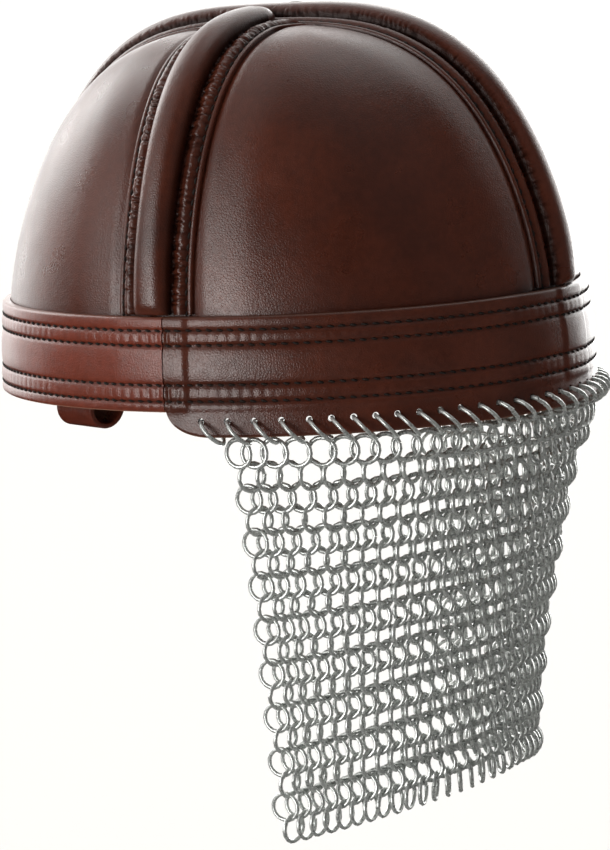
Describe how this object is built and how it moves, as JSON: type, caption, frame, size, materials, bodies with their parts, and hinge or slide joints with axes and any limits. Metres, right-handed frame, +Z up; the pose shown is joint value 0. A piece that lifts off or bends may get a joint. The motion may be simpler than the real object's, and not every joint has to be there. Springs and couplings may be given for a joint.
{
  "type": "leather helmet with a mail curtain",
  "caption": "Leather helmet of moulded panels under raised ribs, with a stitched brow band and a curtain of linked steel rings hanging round the back.",
  "frame": {"origin": "centre of the head opening, level with the front band's lower edge, where the helmet sits on a head", "axes": "+Z up to the crown, the wearer faces -Y, and the wearer's left is +X"},
  "size_m": [0.2155, 0.2453, 0.314],
  "materials": {
    "brown_leather": "waxed, semi-gloss dark brown",
    "red_brown_leather": "waxed, semi-gloss red brown",
    "galvanised_steel": "drawn wire, galvanised"
  },
  "bodies": {
    "root": {"panel_front_left": "brown_leather", "panel_front_right": "brown_leather", "panel_back_left": "brown_leather", "panel_back_right": "brown_leather", "rib_front_back": "brown_leather", "rib_left": "brown_leather", "rib_right": "brown_leather", "band_back": "brown_leather", "band_front": "red_brown_leather", "strap_loop_left": "red_brown_leather", "strap_loop_right": "red_brown_leather", "hanging_ring_01": "galvanised_steel", "hanging_ring_02": "galvanised_steel", "hanging_ring_03": "galvanised_steel", "hanging_ring_04": "galvanised_steel", "hanging_ring_05": "galvanised_steel", "hanging_ring_06": "galvanised_steel", "hanging_ring_07": "galvanised_steel", "hanging_ring_08": "galvanised_steel", "hanging_ring_09": "galvanised_steel", "hanging_ring_10": "galvanised_steel", "hanging_ring_11": "galvanised_steel", "hanging_ring_12": "galvanised_steel", "hanging_ring_13": "galvanised_steel", "hanging_ring_14": "galvanised_steel", "hanging_ring_15": "galvanised_steel", "hanging_ring_16": "galvanised_steel", "hanging_ring_17": "galvanised_steel", "hanging_ring_18": "galvanised_steel", "hanging_ring_19": "galvanised_steel", "hanging_ring_20": "galvanised_steel", "hanging_ring_21": "galvanised_steel", "hanging_ring_22": "galvanised_steel", "hanging_ring_23": "galvanised_steel", "hanging_ring_24": "galvanised_steel", "hanging_ring_25": "galvanised_steel", "hanging_ring_26": "galvanised_steel", "hanging_ring_27": "galvanised_steel", "hanging_ring_28": "galvanised_steel", "hanging_ring_29": "galvanised_steel", "hanging_ring_30": "galvanised_steel", "hanging_ring_31": "galvanised_steel", "hanging_ring_32": "galvanised_steel", "hanging_ring_33": "galvanised_steel", "hanging_ring_34": "galvanised_steel", "hanging_ring_35": "galvanised_steel", "hanging_ring_36": "galvanised_steel", "hanging_ring_37": "galvanised_steel", "hanging_ring_38": "galvanised_steel", "hanging_ring_39": "galvanised_steel", "mail_curtain": "galvanised_steel"}
  },
  "joints": []
}
